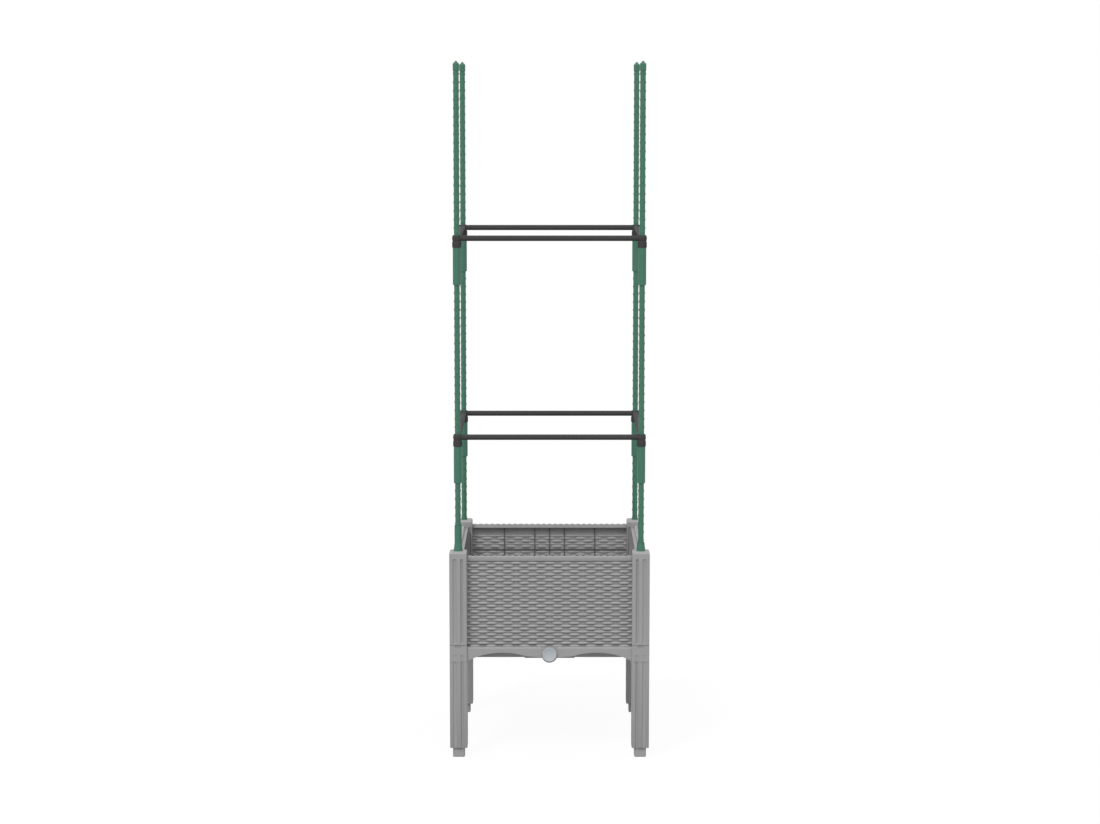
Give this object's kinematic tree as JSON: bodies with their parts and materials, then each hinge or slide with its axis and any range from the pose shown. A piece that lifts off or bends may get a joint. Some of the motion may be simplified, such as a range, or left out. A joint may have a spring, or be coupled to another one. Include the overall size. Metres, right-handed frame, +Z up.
{
  "type": "raised bed planter",
  "caption": "Square raised planter on fluted legs with woven-look side panels, a drained water tray with a lift-out soil grid, and a tiered stake trellis for climbing plants.",
  "frame": {"origin": "on the floor under the centre of the square bed, midway between the four feet", "axes": "+Z up; +Y from the front, where the drain plug is, to the back; +X to the right seen from the front"},
  "size_m": [0.4, 0.4038, 1.3905],
  "materials": {
    "resin": "satin moulded grey resin",
    "sleeve_coating": "satin green plastic sleeve",
    "stake_coating": "semi-gloss green coating with nubs",
    "tip_plastic": "semi-gloss green end cap",
    "black_plastic": "satin black plastic",
    "plug_plastic": "satin light grey plastic",
    "washer_rubber": "matt black rubber"
  },
  "bodies": {
    "planter": {"base_tray": "resin", "leg_front_left": "resin", "leg_front_right": "resin", "leg_back_left": "resin", "leg_back_right": "resin", "post_front_left": "resin", "post_front_right": "resin", "post_back_left": "resin", "post_back_right": "resin", "cap_front_left": "resin", "cap_front_right": "resin", "cap_back_left": "resin", "cap_back_right": "resin", "panel_front": "resin", "panel_back": "resin", "panel_left": "resin", "panel_right": "resin", "base_sleeve_front_left": "sleeve_coating", "base_sleeve_front_right": "sleeve_coating", "base_sleeve_back_left": "sleeve_coating", "base_sleeve_back_right": "sleeve_coating"},
    "drain": {"drain_plug": "plug_plastic", "plug_washer": "washer_rubber"},
    "soil_grid": {"soil_plate": "resin"},
    "lower_tier": {"lower_stake_front_left": "stake_coating", "lower_stake_front_right": "stake_coating", "lower_stake_back_left": "stake_coating", "lower_stake_back_right": "stake_coating", "lower_sleeves": "sleeve_coating", "lower_clip_front_left": "black_plastic", "lower_clip_front_right": "black_plastic", "lower_clip_back_left": "black_plastic", "lower_clip_back_right": "black_plastic", "lower_bar_front": "black_plastic", "lower_bar_back": "black_plastic", "lower_bar_left": "black_plastic", "lower_bar_right": "black_plastic"},
    "middle_tier": {"middle_stake_front_left": "stake_coating", "middle_stake_front_right": "stake_coating", "middle_stake_back_left": "stake_coating", "middle_stake_back_right": "stake_coating", "upper_sleeves": "sleeve_coating", "upper_clip_front_left": "black_plastic", "upper_clip_front_right": "black_plastic", "upper_clip_back_left": "black_plastic", "upper_clip_back_right": "black_plastic", "upper_bar_front": "black_plastic", "upper_bar_back": "black_plastic", "upper_bar_left": "black_plastic", "upper_bar_right": "black_plastic"},
    "top_front_left": {"top_stake_front_left": "stake_coating", "tip_front_left": "tip_plastic"},
    "top_front_right": {"top_stake_front_right": "stake_coating", "tip_front_right": "tip_plastic"},
    "top_back_left": {"top_stake_back_left": "stake_coating", "tip_back_left": "tip_plastic"},
    "top_back_right": {"top_stake_back_right": "stake_coating", "tip_back_right": "tip_plastic"}
  },
  "joints": [
    {"name": "drain_pull", "type": "slide", "parent": "planter", "child": "drain", "axis": [0, -1, 0], "range_m": [0, 0.028]},
    {"name": "soil_grid_lift", "type": "slide", "parent": "planter", "child": "soil_grid", "axis": [0, 0, 1], "range_m": [0, 0.195]},
    {"name": "lower_tier_lift", "type": "slide", "parent": "planter", "child": "lower_tier", "axis": [0, 0, 1], "range_m": [0, 0.25]},
    {"name": "middle_tier_lift", "type": "slide", "parent": "lower_tier", "child": "middle_tier", "axis": [0, 0, 1], "range_m": [0, 0.048]},
    {"name": "top_front_left_lift", "type": "slide", "parent": "middle_tier", "child": "top_front_left", "axis": [0, 0, 1], "range_m": [0, 0.048]},
    {"name": "top_front_right_lift", "type": "slide", "parent": "middle_tier", "child": "top_front_right", "axis": [0, 0, 1], "range_m": [0, 0.048]},
    {"name": "top_back_left_lift", "type": "slide", "parent": "middle_tier", "child": "top_back_left", "axis": [0, 0, 1], "range_m": [0, 0.048]},
    {"name": "top_back_right_lift", "type": "slide", "parent": "middle_tier", "child": "top_back_right", "axis": [0, 0, 1], "range_m": [0, 0.048]}
  ]
}
